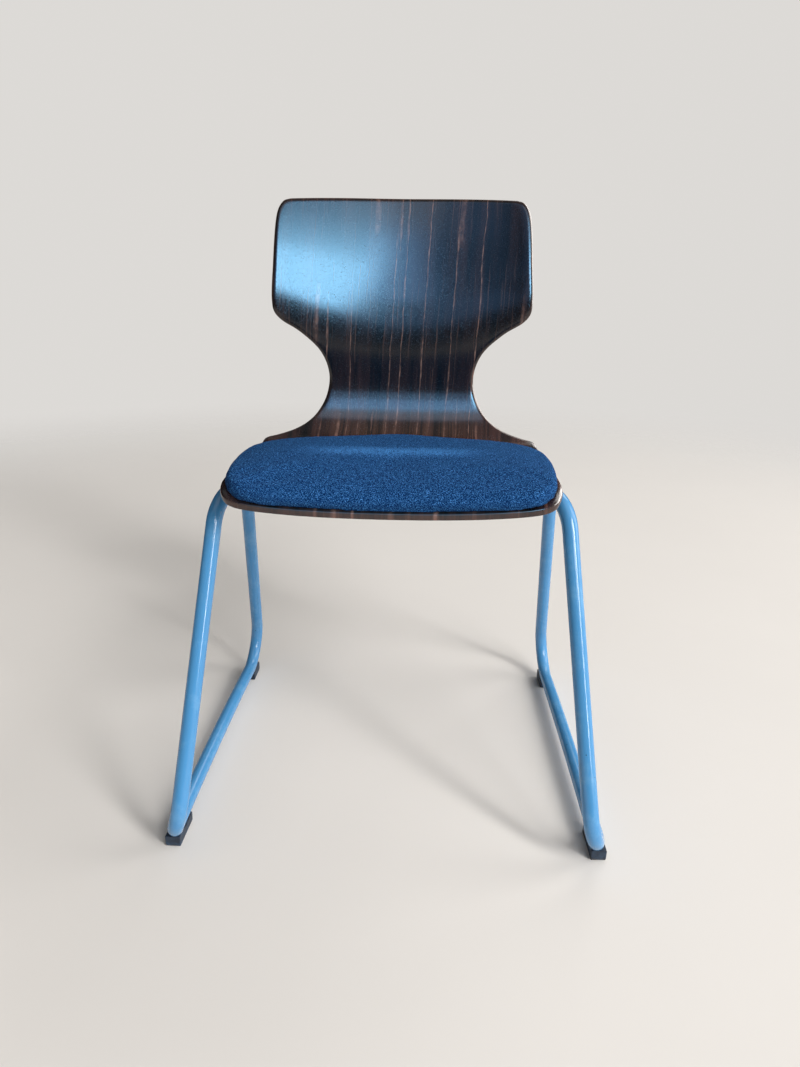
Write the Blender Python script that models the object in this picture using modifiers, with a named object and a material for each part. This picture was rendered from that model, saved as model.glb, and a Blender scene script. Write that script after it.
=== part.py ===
"""Conference chair: a moulded plywood shell and a seat pad on a bent-tube skid frame.

Metres, +Z up, the sitter faces -Y, and the floor under the middle of the chair is the origin.
"""

import math

import bmesh
import bpy
import numpy as np
from mathutils import Matrix, Vector

# Fits
GAP = 0.0004
HOLE_PLAY = 0.0003

# Shell profile: a chain of runs, each with a length and the heading in degrees where it ends
SHELL_THICKNESS = 0.009
SHELL_EDGE_ROUND = 0.0022
SHELL_FRONT_Y = -0.1908
SHELL_FRONT_Z = 0.4363
FRONT_HEADING = 25.0
ROLL_RUN = 0.065
SEAT_RUN = 0.255
SEAT_HEADING = -3.0
BEND_RUN = 0.150
WAIST_RUN = 0.035
WAIST_HEADING = 96.0
LUMBAR_RUN = 0.120
LUMBAR_HEADING = 76.0
TOP_RUN = 0.1260
TOP_HEADING = 71.0
HEADING_EASE = 0.030
SEAT_DISH_RADIUS = 2.20
BACK_DISH_RADIUS = 0.58
BACK_DISH_START = -0.005  # from the end of the bend
BACK_DISH_RUN = 0.205  # over which the back's dish deepens
SHELL_COLUMNS = 12

# Shell outline: (station, half width), with stations counted as each line says
FRONT_CORNER = ((0.0040, 0.1640), (0.0075, 0.1803), (0.0150, 0.1921), (0.0300, 0.2000))  # from the front
SEAT_SIDE = ((0.0550, 0.2052), (0.1100, 0.2096))  # from the front
WING_HALF = 0.2122
WING_AHEAD = 0.0200  # before the end of the seat run
BEND_SIDE = (  # shares of the bend run
    (0.1067, 0.2126),
    (0.2067, 0.2117),
    (0.2600, 0.2090),
    (0.2920, 0.2040),
    (0.3233, 0.1960),
    (0.3700, 0.1846),
    (0.4200, 0.1722),
    (0.4833, 0.1590),
    (0.5533, 0.1470),
    (0.6667, 0.1330),
    (0.8533, 0.1190),
)
WAIST = ((0.0110, 0.1145), (0.0465, 0.1265), (0.0770, 0.1575))  # from the end of the bend
BACK_CORNER = ((0.0950, 0.1860), (0.1060, 0.1950), (0.1210, 0.1973))  # from the end of the bend
BACK_SIDE = (0.395, 0.1945)  # share of the way from the back corner to the top corner
TOP_CORNER = ((0.0395, 0.1900), (0.0245, 0.1858), (0.0155, 0.1795), (0.0115, 0.1705))  # below the top

# Pad outline, in the same measures
PAD_FRONT = ((0.0015, 0.0), (0.0020, 0.1000), (0.0040, 0.1550))  # from the front
PAD_CORNER = ((0.0085, 0.1740), (0.0180, 0.1870), (0.0350, 0.1950))  # from the front
PAD_SIDE = ((0.132, 0.1995), (0.330, 0.2040), (0.551, 0.2060), (0.793, 0.2030))  # shares, corner to rear
PAD_REAR = (  # from the end of the seat run
    (-0.0630, 0.1890),
    (-0.0240, 0.1620),
    (0.0050, 0.1250),
    (0.0300, 0.0750),
    (0.0425, 0.0),
)

# Pad section
PAD_EDGE_HEIGHT = 0.0215
PAD_EDGE_ROUND = 0.0140
PAD_CROWN = 0.0340
PAD_BULGE = ((0.086, 0.140), (0.0, 0.395), (0.100, 0.651), (0.414, 0.898), (1.0, 1.0))  # inset, height shares
COVER_THICKNESS = 0.0012
COVER_TUCK = 0.0050
HEM_WIDTH = 0.0140
BOARD_THICKNESS = 0.0040
BOARD_CLEARANCE = 0.0013
PAD_SIDES = 48
CROWN_SHARES = (0.88, 0.72, 0.52, 0.28)
FLAT_SHARES = (1.0, 0.92, 0.84, 0.76, 0.66, 0.45)

# Frame
TUBE_RADIUS = 0.0100
TUBE_WALL = 0.0020
TUBE_SIDES = 14
TOP_BEND = 0.0550
FRONT_BEND = 0.0460
REAR_BEND = 0.0500
BEND_STEPS = 7
RAIL_STEPS = 6
RAIL_ARCH = 0.0040
FOOT_FRONT_HALF = 0.2555
FOOT_FRONT_Y = -0.2766
FOOT_TOE = 0.0150
FOOT_REAR_HALF = 0.2630
FOOT_REAR_Y = 0.2808
LEG_TOP_AHEAD = 0.0387  # the front leg's top corner, ahead of the front bolt
REAR_TOP_HALF = 0.2335
CROSS_PAST_BOLT = 0.0215  # the rear cross, behind the rear bolt
RAIL_END_PAST_CROSS = 0.0180
PLUG_HEAD = 0.0022
PLUG_DEPTH = 0.0100

# Fixings, placed as (station from the front or from the end of the seat run, half width)
FRONT_BOLT = (0.1250, 0.1760)
REAR_BOLT = (-0.0350, 0.1060)
FRONT_SCREW = (0.0850, 0.1000)
REAR_SCREW = (-0.0750, 0.1680)
PLATE_LENGTH = 0.0440
PLATE_THICKNESS = 0.0030
PLATE_ROUND = 0.0060
PLATE_PAST_BOLT = 0.0120
PLATE_PAST_RAIL = 0.0080
BOLT_RADIUS = 0.0030
BOLT_HEAD_LIP = 0.0030
BOLT_HEAD_HEIGHT = 0.0032
BOLT_HEAD_RIM = 0.0004
BOLT_PAST_NUT = 0.0015
NUT_HEIGHT = 0.0055
NUT_WALL = 0.0028
WASHER_RIM = 0.0038
WASHER_THICKNESS = 0.0016
WASHER_TO_TUBE = 0.0072
SCREW_RADIUS = 0.0019
SCREW_HEAD_LIP = 0.0021
SCREW_HEAD_HEIGHT = 0.0024
CUT_OVER = 0.0100

# Glides
GLIDE_SOLE = 0.0091  # height of the tube's underside
GLIDE_INSET = 0.0003  # from the tube's side
GLIDE_GRIP = 0.0032
GLIDE_NOSE_RISE = 0.0030
GLIDE_NOSE_LENGTH = 0.0140
GLIDE_SLOPE = 0.0120
GLIDE_TOE = 0.0040
GLIDE_ROUND = 0.0012
FRONT_GLIDE = (-0.0260, 0.0280)  # tail and nose, from the end of the bend
REAR_GLIDE = (-0.0060, 0.0340)

# Derived
SEAT_END = ROLL_RUN + SEAT_RUN
BEND_END = SEAT_END + BEND_RUN
SHELL_LENGTH = BEND_END + WAIST_RUN + LUMBAR_RUN + TOP_RUN
INNER_RADIUS = TUBE_RADIUS - TUBE_WALL
WASHER_RADIUS = BOLT_RADIUS + WASHER_RIM
BOLT_TO_RAIL = TUBE_RADIUS + WASHER_RADIUS + WASHER_TO_TUBE
PAD_BASE = 2 * GAP
BOARD_BASE = PAD_BASE + COVER_THICKNESS + 2 * GAP
BOARD_TOP = BOARD_BASE + BOARD_THICKNESS
BOARD_INSET = COVER_TUCK + COVER_THICKNESS + BOARD_CLEARANCE
FOAM_BASE = BOARD_TOP + 2 * GAP
PLATE_DROP = SHELL_THICKNESS + GAP
RAIL_DROP = PLATE_DROP + PLATE_THICKNESS + GAP + TUBE_RADIUS
RAIL_HEIGHT = GLIDE_SOLE + TUBE_RADIUS
GLIDE_HEIGHT = GLIDE_SOLE + GLIDE_GRIP
GLIDE_NOSE_HEIGHT = GLIDE_HEIGHT + GLIDE_NOSE_RISE

for item in list(bpy.data.objects):
    bpy.data.objects.remove(item, do_unlink=True)

chair = bpy.data.collections.new("conference_chair")
cutters = bpy.data.collections.new("cutters")
bpy.context.scene.collection.children.link(chair)
bpy.context.scene.collection.children.link(cutters)
cutters.hide_render = True


def make_material(name, colour, roughness, metallic):
    made = bpy.data.materials.new(name)
    made.use_nodes = True
    shader = made.node_tree.nodes["Principled BSDF"]
    shader.inputs["Base Color"].default_value = (*colour, 1.0)
    shader.inputs["Roughness"].default_value = roughness
    shader.inputs["Metallic"].default_value = metallic
    return made


WOOD = make_material("dark_plywood", (0.030, 0.016, 0.010), 0.30, 0.0)
FABRIC = make_material("blue_fabric", (0.022, 0.075, 0.190), 0.90, 0.0)
FOAM = make_material("pad_foam", (0.60, 0.55, 0.40), 0.95, 0.0)
BOARD = make_material("carrier_board", (0.35, 0.24, 0.13), 0.70, 0.0)
PAINT = make_material("grey_blue_paint", (0.110, 0.230, 0.350), 0.25, 0.0)
PLASTIC = make_material("black_plastic", (0.012, 0.012, 0.014), 0.50, 0.0)
STEEL = make_material("zinc_steel", (0.55, 0.56, 0.58), 0.35, 1.0)


def finish(name, mesh, material, angle=35.0, group=chair):
    mesh.materials.append(material)
    mesh.shade_smooth()
    mesh.set_sharp_from_angle(angle=math.radians(angle))
    made = bpy.data.objects.new(name, mesh)
    group.objects.link(made)
    return made


def mesh_of(name, bm):
    bmesh.ops.recalc_face_normals(bm, faces=bm.faces[:])
    mesh = bpy.data.meshes.new(name)
    bm.to_mesh(mesh)
    bm.free()
    return mesh


def as_cutter(made):
    made.hide_render = True
    made.display_type = "WIRE"
    return made


def cut(made, cutter):
    modifier = made.modifiers.new("cut_" + cutter.name, "BOOLEAN")
    modifier.operation = "DIFFERENCE"
    modifier.solver = "EXACT"
    modifier.object = cutter


# Shell surface


def profile_table(count=1500):
    runs = (ROLL_RUN, SEAT_RUN, BEND_RUN, WAIST_RUN, LUMBAR_RUN, TOP_RUN)
    turns = (FRONT_HEADING, SEAT_HEADING, SEAT_HEADING, WAIST_HEADING, WAIST_HEADING)
    turns += (LUMBAR_HEADING, TOP_HEADING)
    ends = np.concatenate([[0.0], np.cumsum(runs)])
    run = np.linspace(0.0, ends[-1], count)
    heading = np.interp(run, ends, np.radians(turns))
    kernel = np.hanning(max(3, int(HEADING_EASE / run[1])))
    padded = np.pad(heading, len(kernel) // 2, mode="edge")
    heading = np.convolve(padded, kernel / kernel.sum(), mode="valid")[:count]
    middle = (heading[1:] + heading[:-1]) / 2
    step = run[1] - run[0]
    y = SHELL_FRONT_Y + np.concatenate([[0.0], np.cumsum(np.cos(middle) * step)])
    z = SHELL_FRONT_Z + np.concatenate([[0.0], np.cumsum(np.sin(middle) * step)])
    return run, y, z, heading


RUN, RUN_Y, RUN_Z, RUN_HEADING = profile_table()


def fade(x):
    x = min(max(x, 0.0), 1.0)
    return x * x * (3 - 2 * x)


def dish(run):
    """The shell's bow across its width, as one over the radius."""
    share = fade((run - BEND_END - BACK_DISH_START) / BACK_DISH_RUN)
    return (1 - share) / SEAT_DISH_RADIUS + share / BACK_DISH_RADIUS


def shell_axes(run, half):
    """Point on the sitter's face of the shell, and its along, across and outward directions."""
    y, z = np.interp(run, RUN, RUN_Y), np.interp(run, RUN, RUN_Z)
    heading = np.interp(run, RUN, RUN_HEADING)
    along = Vector((0.0, math.cos(heading), math.sin(heading)))
    face = Vector((0.0, -math.sin(heading), math.cos(heading)))
    bow = dish(run)
    point = Vector((half, y, z)) + face * (half * half * bow / 2)
    across = (Vector((1.0, 0.0, 0.0)) + face * (half * bow)).normalized()
    outward = across.cross(along).normalized()
    return point, along, across, outward


def shell_point(run, half, height=0.0):
    point, along, across, outward = shell_axes(run, half)
    return point + outward * height


def smooth_chain(stations, per_span):
    """Points of a rounded chain through the stations, evenly many in each span."""
    pts = [np.array(p) for p in stations]
    pts = [2 * pts[0] - pts[1]] + pts + [2 * pts[-1] - pts[-2]]
    made = []
    for a, b, c, d in zip(pts, pts[1:], pts[2:], pts[3:]):
        knots = [0.0]
        for p, q in ((a, b), (b, c), (c, d)):
            knots.append(knots[-1] + math.sqrt(np.linalg.norm(q - p)))
        for t in np.linspace(knots[1], knots[2], per_span, endpoint=False):
            l1 = ((knots[1] - t) * a + t * b) / knots[1]
            l2 = ((knots[2] - t) * b + (t - knots[1]) * c) / (knots[2] - knots[1])
            l3 = ((knots[3] - t) * c + (t - knots[2]) * d) / (knots[3] - knots[2])
            m1 = ((knots[2] - t) * l1 + t * l2) / knots[2]
            m2 = ((knots[3] - t) * l2 + (t - knots[1]) * l3) / (knots[3] - knots[1])
            made.append(((knots[2] - t) * m1 + (t - knots[1]) * m2) / (knots[2] - knots[1]))
    made.append(pts[-2])
    return made


def shell_edge():
    """Stations of the right-hand edge as (run, half width), from the front corner to the top."""
    edge = list(FRONT_CORNER + SEAT_SIDE)
    edge.append((SEAT_END - WING_AHEAD, WING_HALF))
    edge += [(SEAT_END + share * BEND_RUN, half) for share, half in BEND_SIDE]
    edge += [(BEND_END + run, half) for run, half in WAIST + BACK_CORNER]
    top = [(SHELL_LENGTH - run, half) for run, half in TOP_CORNER]
    share, half = BACK_SIDE
    edge.append((edge[-1][0] + share * (top[0][0] - edge[-1][0]), half))
    return edge + top


def make_shell():
    """A grid over the sitter's face: its end rows bow out so that the front and top edges are soft arcs."""
    edge = smooth_chain(shell_edge(), 2)
    bm = bmesh.new()
    bmesh.ops.create_grid(bm, x_segments=SHELL_COLUMNS, y_segments=len(edge) - 1, size=1.0)
    front, last = edge[0][0], edge[-1][0]
    top = SHELL_LENGTH - last
    bowed = 0.08
    for vert in bm.verts:
        row = round((vert.co.y + 1) / 2 * (len(edge) - 1))
        run, half = edge[row]
        middle = run - front * (1 - fade(run / bowed)) + top * fade((run - last) / bowed + 1)
        place = math.copysign(abs(vert.co.x) ** 0.9, vert.co.x)
        power = 4 - 1.6 * fade((run - last) / bowed + 1)
        vert.co = shell_point(middle + (run - middle) * abs(place) ** power, half * place)
    bmesh.ops.recalc_face_normals(bm, faces=bm.faces[:])
    if sum(f.normal.z for f in bm.faces) < 0:
        bmesh.ops.reverse_faces(bm, faces=bm.faces[:])
    mesh = bpy.data.meshes.new("seat_shell")
    bm.to_mesh(mesh)
    bm.free()
    made = finish("seat_shell", mesh, WOOD, 60.0)
    thick = made.modifiers.new("thickness", "SOLIDIFY")
    thick.thickness = SHELL_THICKNESS
    thick.offset = -1.0
    thick.use_even_offset = True
    rim = made.modifiers.new("rim", "BEVEL")
    rim.width = SHELL_EDGE_ROUND
    rim.segments = 2
    rim.limit_method = "ANGLE"
    rim.angle_limit = math.radians(60)
    return made


# Pad surfaces, in the shell's own run and half-width measures


def pad_outline(count):
    """Closed outline of the pad as (run, half width), starting at the middle of the front."""
    rear = [(SEAT_END + run, half) for run, half in PAD_REAR]
    start = PAD_CORNER[-1][0]
    side = [(start + share * (rear[0][0] - start), half) for share, half in PAD_SIDE]
    chain = list(PAD_FRONT + PAD_CORNER) + side + rear
    mirrored = [(run, -half) for run, half in chain[-2:0:-1]]
    closed = chain + mirrored + chain[:1]
    pts = np.array(smooth_chain([closed[-2]] + closed + [closed[1]], 24))[24:-24]
    walk = np.concatenate([[0.0], np.cumsum(np.linalg.norm(np.diff(pts, axis=0), axis=1))])
    want = np.linspace(0.0, walk[-1], count, endpoint=False)
    return np.stack([np.interp(want, walk, pts[:, k]) for k in (0, 1)], axis=1)


def inset(outline, depth):
    ahead = np.roll(outline, -1, axis=0) - np.roll(outline, 1, axis=0)
    ahead /= np.linalg.norm(ahead, axis=1)[:, None]
    normal = np.stack([ahead[:, 1], -ahead[:, 0]], axis=1)
    middle = outline.mean(axis=0)
    if ((middle - outline) * normal).sum() < 0:
        normal = -normal
    return outline + normal * depth


def band(bm, low, high):
    """Triangles between two rings, split the same way on every pad piece so that they nest."""
    for k in range(len(low)):
        n = (k + 1) % len(low)
        bm.faces.new((low[k], low[n], high[n]))
        bm.faces.new((low[k], high[n], high[k]))


def pad_rings(bm, outline, rings, crown, edge):
    """Rings of vertices from the rim up over the crown, then a centre vertex.

    Each ring is (inset, height) near the edge. Further in, it is a share of the last one.
    """
    made = []
    for depth, height in rings:
        made.append([bm.verts.new(shell_point(r, h, height)) for r, h in inset(outline, depth)])
    base = inset(outline, rings[-1][0])
    middle = np.array([(base[:, 0].min() + base[:, 0].max()) / 2, 0.0])
    for share in CROWN_SHARES:
        height = edge + (crown - edge) * (1 - share**2.4)
        ring = middle + (base - middle) * share
        made.append([bm.verts.new(shell_point(r, h, height)) for r, h in ring])
    tip = bm.verts.new(shell_point(middle[0], 0.0, crown))
    for low, high in zip(made, made[1:]):
        band(bm, low, high)
    last = made[-1]
    for k in range(len(last)):
        bm.faces.new((last[k], last[(k + 1) % len(last)], tip))
    return made


def make_cover():
    outline = pad_outline(PAD_SIDES)
    rings = [(HEM_WIDTH, PAD_BASE), (COVER_TUCK, PAD_BASE)]
    rings += [(PAD_EDGE_ROUND * depth, PAD_EDGE_HEIGHT * height) for depth, height in PAD_BULGE]
    bm = bmesh.new()
    pad_rings(bm, outline, rings, PAD_CROWN, PAD_EDGE_HEIGHT)
    mesh = mesh_of("pad_cover", bm)
    made = finish("pad_cover", mesh, FABRIC, 75.0)
    if mesh.polygons[len(mesh.polygons) - 1].normal.z < 0:
        mesh.flip_normals()
    thick = made.modifiers.new("cloth", "SOLIDIFY")
    thick.thickness = COVER_THICKNESS
    thick.offset = -1.0
    return made


def make_foam():
    outline = pad_outline(PAD_SIDES)
    skin = COVER_THICKNESS + 2 * GAP
    edge = PAD_EDGE_HEIGHT - skin
    depths, heights = zip(*PAD_BULGE)
    start = skin + PAD_EDGE_ROUND * np.interp(FOAM_BASE / PAD_EDGE_HEIGHT, heights, depths)
    rings = [(start, FOAM_BASE)]
    for depth, height in PAD_BULGE:
        if edge * height > FOAM_BASE + skin:
            rings.append((skin + PAD_EDGE_ROUND * depth, edge * height))
    bm = bmesh.new()
    made = pad_rings(bm, outline, rings, PAD_CROWN - skin, edge)
    low = made[0]
    base = inset(outline, BOARD_INSET)
    middle = np.array([(base[:, 0].min() + base[:, 0].max()) / 2, 0.0])
    for share in FLAT_SHARES:
        ring = [bm.verts.new(shell_point(r, h, FOAM_BASE)) for r, h in middle + (base - middle) * share]
        band(bm, low, ring)
        low = ring
    tip = bm.verts.new(shell_point(middle[0], 0.0, FOAM_BASE))
    for k in range(len(low)):
        bm.faces.new((low[(k + 1) % len(low)], low[k], tip))
    return finish("pad_foam", mesh_of("pad_foam", bm), FOAM, 60.0)


def make_board():
    base = inset(pad_outline(PAD_SIDES), BOARD_INSET)
    middle = np.array([(base[:, 0].min() + base[:, 0].max()) / 2, 0.0])
    bm = bmesh.new()
    rings = []
    for height in (BOARD_BASE, BOARD_TOP):
        for share in FLAT_SHARES if height == BOARD_TOP else FLAT_SHARES[::-1]:
            ring = middle + (base - middle) * share
            rings.append([bm.verts.new(shell_point(r, h, height)) for r, h in ring])
    for low, high in zip(rings, rings[1:]):
        band(bm, low, high)
    for ring, height in ((rings[0], BOARD_BASE), (rings[-1], BOARD_TOP)):
        tip = bm.verts.new(shell_point(middle[0], 0.0, height))
        for k in range(len(ring)):
            bm.faces.new((ring[k], ring[(k + 1) % len(ring)], tip))
    return finish("pad_board", mesh_of("pad_board", bm), BOARD)


# Frame


def bend(before, corner, after, radius, steps=BEND_STEPS):
    """Points of the arc that rounds the corner."""
    a, b = (before - corner).normalized(), (after - corner).normalized()
    half = a.angle(b) / 2
    start, end = corner + a * (radius / math.tan(half)), corner + b * (radius / math.tan(half))
    centre = corner + (a + b).normalized() * (radius / math.sin(half))
    u, v = (start - centre) / radius, (end - centre) / radius
    turn = u.angle(v)
    shares = [k / steps for k in range(steps + 1)]
    return [
        centre + (u * math.sin((1 - t) * turn) + v * math.sin(t * turn)) * (radius / math.sin(turn))
        for t in shares
    ]


def rail_line():
    """Two points of the right seat rail's axis, under the front and the rear bolt."""
    line = []
    for run, half in (FRONT_BOLT, (SEAT_END + REAR_BOLT[0], REAR_BOLT[1])):
        point, along, across, outward = shell_axes(run, half)
        line.append(point + across * BOLT_TO_RAIL - outward * RAIL_DROP)
    return line


def skid_path():
    """The right skid tube's axis, from the rear end of its seat rail to the middle of the cross."""
    front, rear = rail_line()
    slope = (rear - front) / (rear.y - front.y)
    top_front = front - slope * LEG_TOP_AHEAD
    crossing = rear + slope * CROSS_PAST_BOLT
    end = crossing + slope * RAIL_END_PAST_CROSS
    cross_z = crossing.z - 2 * TUBE_RADIUS - GAP
    foot = Vector((FOOT_FRONT_HALF, FOOT_FRONT_Y, RAIL_HEIGHT))
    heel = Vector((FOOT_REAR_HALF, FOOT_REAR_Y, RAIL_HEIGHT))
    top_rear = Vector((REAR_TOP_HALF, crossing.y, cross_z))
    middle = Vector((GAP / 2, crossing.y, cross_z))
    length = heel.y - foot.y
    path = [end] + bend(end, top_front, foot, TOP_BEND)
    turn = bend(top_front, foot, heel, FRONT_BEND)
    share = (heel.y - turn[-1].y) / length
    for k, point in enumerate(turn):
        path.append(point + Vector((FOOT_TOE * share * fade(k / BEND_STEPS), 0.0, 0.0)))
    last = bend(foot, heel, top_rear, REAR_BEND)
    for k in range(1, RAIL_STEPS):
        share = k / RAIL_STEPS
        point = turn[-1].lerp(last[0], share)
        rise = RAIL_ARCH * 4 * share * (1 - share)
        point += Vector((FOOT_TOE * (heel.y - point.y) / length, 0.0, rise))
        path.append(point)
    share = (heel.y - last[0].y) / length
    for k, point in enumerate(last):
        path.append(point + Vector((FOOT_TOE * share * (1 - fade(k / BEND_STEPS)), 0.0, 0.0)))
    path += bend(heel, top_rear, middle, TOP_BEND) + [middle]
    return path


def tube_curve(name, points, radius, side):
    data = bpy.data.curves.new(name, "CURVE")
    data.dimensions = "3D"
    data.bevel_depth = radius
    data.bevel_resolution = TUBE_SIDES // 2 - 2
    line = data.splines.new("POLY")
    line.points.add(len(points) - 1)
    for knot, point in zip(line.points, points):
        knot.co = (point.x * side, point.y, point.z, 1.0)
    return data


def make_tube(name, side):
    data = tube_curve(name, SKID, TUBE_RADIUS, side)
    data.materials.append(PAINT)
    made = bpy.data.objects.new(name, data)
    chair.objects.link(made)
    wall = made.modifiers.new("wall", "SOLIDIFY")
    wall.thickness = TUBE_WALL
    wall.offset = -1.0
    return made


def tube_cutter(name, side):
    """Solid tube a gap wider than the skid tube, to shape what lies against it."""
    data = tube_curve(name + "_curve", SKID, TUBE_RADIUS + GAP, side)
    data.use_fill_caps = True
    guide = bpy.data.objects.new(name + "_curve", data)
    cutters.objects.link(guide)
    as_cutter(guide)
    bpy.context.view_layer.update()
    graph = bpy.context.evaluated_depsgraph_get()
    bm = bmesh.new()
    bm.from_mesh(bpy.data.meshes.new_from_object(guide.evaluated_get(graph)))
    bmesh.ops.remove_doubles(bm, verts=bm.verts[:], dist=0.00001)
    made = bpy.data.objects.new(name, mesh_of(name, bm))
    cutters.objects.link(made)
    bpy.data.objects.remove(guide, do_unlink=True)
    return as_cutter(made)


# Turned pieces: a profile from top to bottom, turned about the local Z axis


def turned(name, profile, steps, matrix, material, group=chair):
    bm = bmesh.new()
    verts = [bm.verts.new((radius, 0.0, z)) for radius, z in profile]
    edges = [bm.edges.new(pair) for pair in zip(verts, verts[1:])]
    bmesh.ops.spin(
        bm,
        geom=verts + edges,
        axis=(0.0, 0.0, 1.0),
        cent=(0.0, 0.0, 0.0),
        angle=2 * math.pi,
        steps=steps,
        use_merge=True,
    )
    bmesh.ops.remove_doubles(bm, verts=bm.verts[:], dist=0.00001)
    bm.transform(matrix)
    return finish(name, mesh_of(name, bm), material, 30.0, group)


def on_shell(run, half):
    """Matrix with its origin on the sitter's face of the shell and its Z axis outward."""
    point, along, across, outward = shell_axes(run, half)
    matrix = Matrix((across, along, outward)).transposed().to_4x4()
    matrix.translation = point
    return matrix


def make_bolt_set(label, run, half):
    """Countersunk bolt, its hole through the shell and the plate, and the washer and nut below."""
    place = on_shell(run, half)
    grip = PLATE_DROP + PLATE_THICKNESS
    r, tall = BOLT_RADIUS, BOLT_HEAD_HEIGHT
    head = r + BOLT_HEAD_LIP
    rim = -GAP - BOLT_HEAD_RIM
    low = -(grip + GAP + WASHER_THICKNESS + GAP + NUT_HEIGHT + BOLT_PAST_NUT)
    chamfer = r / 5
    profile = [(0.0, -GAP), (head, -GAP), (head, rim), (r, -tall), (r, low + chamfer)]
    profile += [(r - chamfer, low), (0.0, low)]
    turned("shell_bolt_" + label, profile, 16, place, STEEL)
    play = HOLE_PLAY
    wide = head + play
    end = -grip - WASHER_THICKNESS - NUT_HEIGHT - CUT_OVER
    profile = [(0.0, CUT_OVER), (wide, CUT_OVER), (wide, rim - play), (r + play, -tall - play)]
    profile += [(r + play, end), (0.0, end)]
    hole = as_cutter(turned("hole_" + label, profile, 16, place, STEEL, cutters))
    cut(bpy.data.objects["seat_shell"], hole)
    hole_wall = r + play
    top = -(grip + GAP)
    ring = [(hole_wall, top), (WASHER_RADIUS, top), (WASHER_RADIUS, top - WASHER_THICKNESS)]
    ring += [(hole_wall, top - WASHER_THICKNESS), (hole_wall, top)]
    turned("washer_" + label, ring, 18, place, STEEL)
    top -= WASHER_THICKNESS + GAP
    bm = bmesh.new()
    bmesh.ops.create_cone(
        bm,
        cap_ends=True,
        segments=6,
        radius1=BOLT_RADIUS + NUT_WALL,
        radius2=BOLT_RADIUS + NUT_WALL,
        depth=NUT_HEIGHT,
        matrix=Matrix.Translation((0.0, 0.0, top - NUT_HEIGHT / 2)),
    )
    bm.transform(place)
    nut = finish("lock_nut_" + label, mesh_of("lock_nut_" + label, bm), STEEL, 30.0)
    cut(nut, hole)
    make_plate(label, place, hole, half)


def make_plate(label, place, hole, half):
    """Flat plate that lies on the seat rail and reaches in past the bolt."""
    width = PLATE_PAST_BOLT + BOLT_TO_RAIL + PLATE_PAST_RAIL
    bm = bmesh.new()
    bmesh.ops.create_cube(bm, size=1.0)
    bmesh.ops.scale(bm, vec=(width, PLATE_LENGTH, PLATE_THICKNESS), verts=bm.verts[:])
    upright = [e for e in bm.edges if abs(e.verts[0].co.z - e.verts[1].co.z) > PLATE_THICKNESS / 2]
    bmesh.ops.bevel(
        bm,
        geom=upright,
        offset=PLATE_ROUND,
        offset_type="OFFSET",
        segments=4,
        profile=0.5,
        affect="EDGES",
        material=-1,
    )
    shift = math.copysign(BOLT_TO_RAIL + PLATE_PAST_RAIL - width / 2, half)
    bmesh.ops.translate(bm, vec=(shift, 0.0, -PLATE_DROP - PLATE_THICKNESS / 2), verts=bm.verts[:])
    bm.transform(place)
    plate = finish("mount_plate_" + label, mesh_of("mount_plate_" + label, bm), PAINT, 30.0)
    cut(plate, hole)


def make_pad_screw(label, run, half):
    place = on_shell(run, half)
    r = SCREW_RADIUS
    head = r + SCREW_HEAD_LIP
    under = -SHELL_THICKNESS - GAP
    tip = BOARD_TOP - GAP
    profile = [(0.0, tip), (r * 0.5, tip), (r, tip - r), (r, under), (head, under)]
    profile += [(head, under - SCREW_HEAD_HEIGHT * 0.5), (head * 0.6, under - SCREW_HEAD_HEIGHT)]
    profile += [(0.0, under - SCREW_HEAD_HEIGHT)]
    turned("pad_screw_" + label, profile, 12, place, STEEL)
    wide = r + HOLE_PLAY
    high, low = BOARD_TOP + CUT_OVER, under - CUT_OVER
    profile = [(0.0, high), (wide, high), (wide, low), (0.0, low)]
    hole = as_cutter(turned("screw_hole_" + label, profile, 12, place, STEEL, cutters))
    cut(bpy.data.objects["seat_shell"], hole)
    cut(bpy.data.objects["pad_board"], hole)


def make_plug(name, side):
    end, nearer = SKID[0], SKID[1]
    out = (end - nearer).normalized()
    matrix = out.to_track_quat("Z", "Y").to_matrix().to_4x4()
    matrix.translation = end
    r = TUBE_RADIUS - HOLE_PLAY
    core = INNER_RADIUS - 2 * HOLE_PLAY
    top, low = PLUG_HEAD, -PLUG_DEPTH
    profile = [(0.0, top), (r * 0.75, top), (r, top / 2), (r, GAP), (core, GAP)]
    profile += [(core, low * 0.9), (core * 0.9, low), (0.0, low)]
    made = turned(name, profile, TUBE_SIDES, matrix, PLASTIC)
    if side < 0:
        made.data.transform(Matrix.Diagonal((-1.0, 1.0, 1.0, 1.0)))
        made.data.flip_normals()
    return made


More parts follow.
